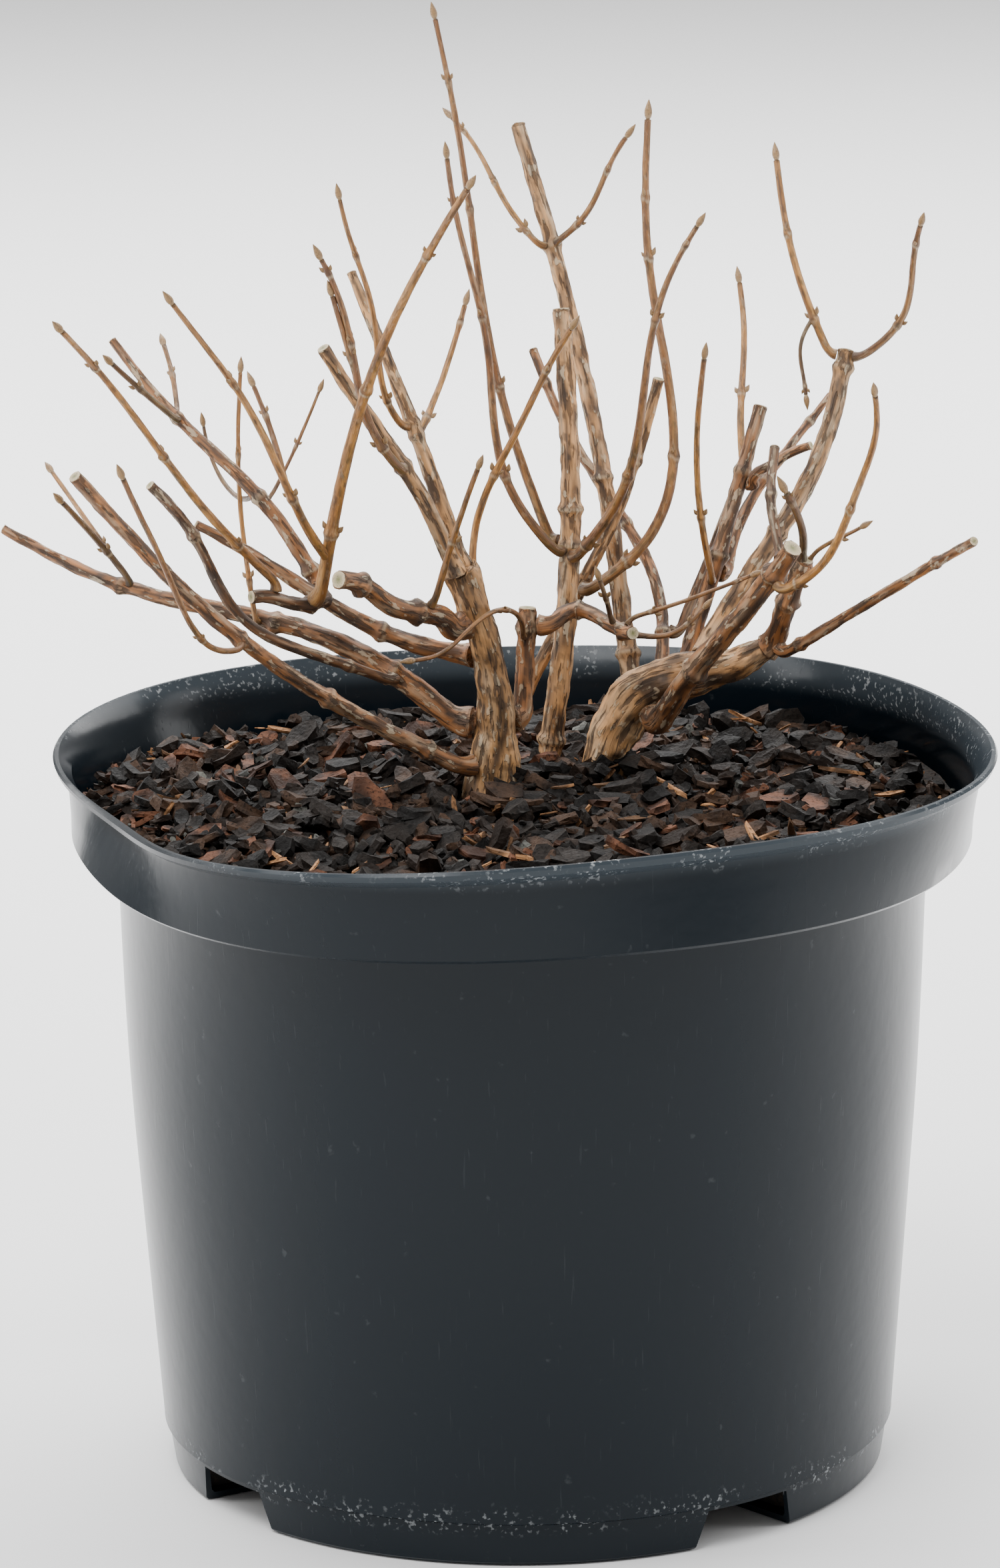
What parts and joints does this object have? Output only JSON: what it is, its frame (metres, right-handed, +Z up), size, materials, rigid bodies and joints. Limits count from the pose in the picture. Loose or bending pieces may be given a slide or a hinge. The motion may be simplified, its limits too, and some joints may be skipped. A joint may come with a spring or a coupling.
{
  "type": "potted winter shrub",
  "caption": "Leafless pruned flowering shrub with woody canes and upright one-year shoots, in a round dark nursery pot topped with bark.",
  "frame": {"origin": "middle of the underside of the pot, on the floor", "axes": "+Z up; the pictured front faces -Y; +X to the right of the picture"},
  "size_m": [0.3146, 0.3029, 0.459],
  "materials": {
    "pot": "glossy, slightly scuffed",
    "bark": "rough",
    "cane": "rough",
    "shoot": "satin"
  },
  "bodies": {
    "root": {"pot": "pot", "bark_mulch": "bark", "stump_left": "cane", "stump_right": "cane", "stem_centre": "cane", "stem_leaning": "cane", "bough_left_low": "cane", "bough_left_front": "cane", "bough_left_dark": "cane", "bough_left_broken": "cane", "bough_left_cut": "cane", "bough_left_upper": "cane", "bough_pale_tall": "cane", "bough_brown_tall": "cane", "bough_dark_stub": "cane", "bough_cross_upright": "cane", "bough_cross_knuckle": "cane", "bough_centre_tall": "cane", "bough_back": "cane", "bough_right_front": "cane", "bough_right_tall": "cane", "bough_right_middle": "cane", "bough_right_spur": "cane", "bough_right_back": "cane", "bough_right_dead": "cane", "bough_right_knob": "cane", "bough_right_low": "cane", "bough_right_stub": "cane", "shoots_crown_top": "shoot", "shoots_crown_left": "shoot", "shoots_crown_right": "shoot", "shoots_tall_left": "shoot", "shoots_tall_right": "shoot", "shoots_centre_back": "shoot", "shoots_pale_left": "shoot", "shoots_pale_right": "shoot", "shoots_brown_pair": "shoot", "shoots_front_crossing": "shoot", "shoots_left_long": "shoot", "shoots_left_yellow": "shoot", "shoots_upper_left": "shoot", "shoots_upper_right": "shoot", "shoots_upper_curl": "shoot", "shoots_upper_thin": "shoot", "shoots_low_left": "shoot", "shoots_far_left": "shoot", "shoots_cut_bough_front": "shoot", "shoots_cut_bough_back": "shoot", "shoots_trailing": "shoot", "shoots_middle_left": "shoot", "shoots_middle_back": "shoot", "shoots_head_left": "shoot", "shoots_head_right": "shoot", "shoots_right_front": "shoot", "shoots_right_thin": "shoot", "shoots_knuckle_long": "shoot", "shoots_knuckle_low": "shoot", "shoots_knuckle_dark": "shoot", "shoots_right_dark": "shoot"}
  },
  "joints": []
}
